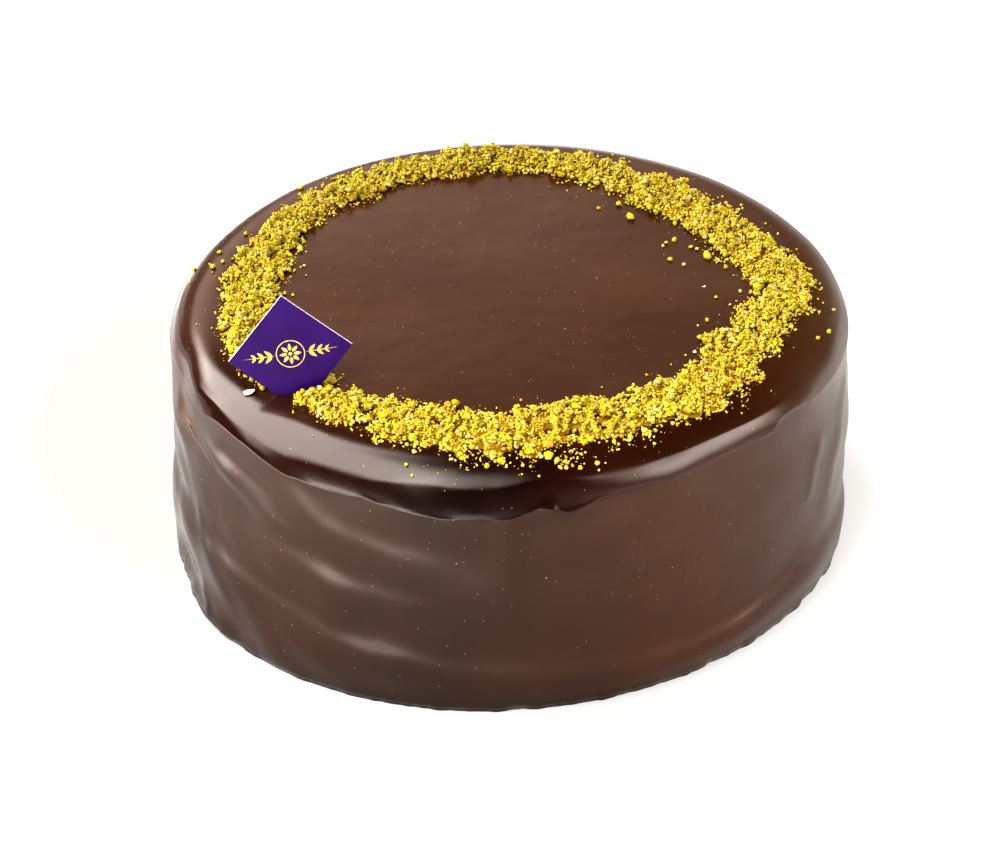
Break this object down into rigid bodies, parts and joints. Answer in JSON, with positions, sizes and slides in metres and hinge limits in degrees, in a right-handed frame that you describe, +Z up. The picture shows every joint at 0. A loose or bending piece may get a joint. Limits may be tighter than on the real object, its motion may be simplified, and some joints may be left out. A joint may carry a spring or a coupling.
{
  "type": "chocolate cake",
  "caption": "Round chocolate-glazed cake with a ring of crushed pistachio on its top and a small square card standing on one corner in the glaze.",
  "frame": {"origin": "centre of the cake's extents, on the floor it stands on", "axes": "+Z up, -Y towards the viewer of the picture, +X to the right"},
  "size_m": [0.2018, 0.2034, 0.1109],
  "materials": {
    "chocolate_glaze": "glossy dark chocolate glaze, slightly uneven",
    "crushed_pistachio": "dry crushed nut, yellow-green",
    "card_paper": "coated purple card with white cut edges"
  },
  "bodies": {
    "root": {"cake": "chocolate_glaze", "card": "card_paper"}
  },
  "joints": []
}
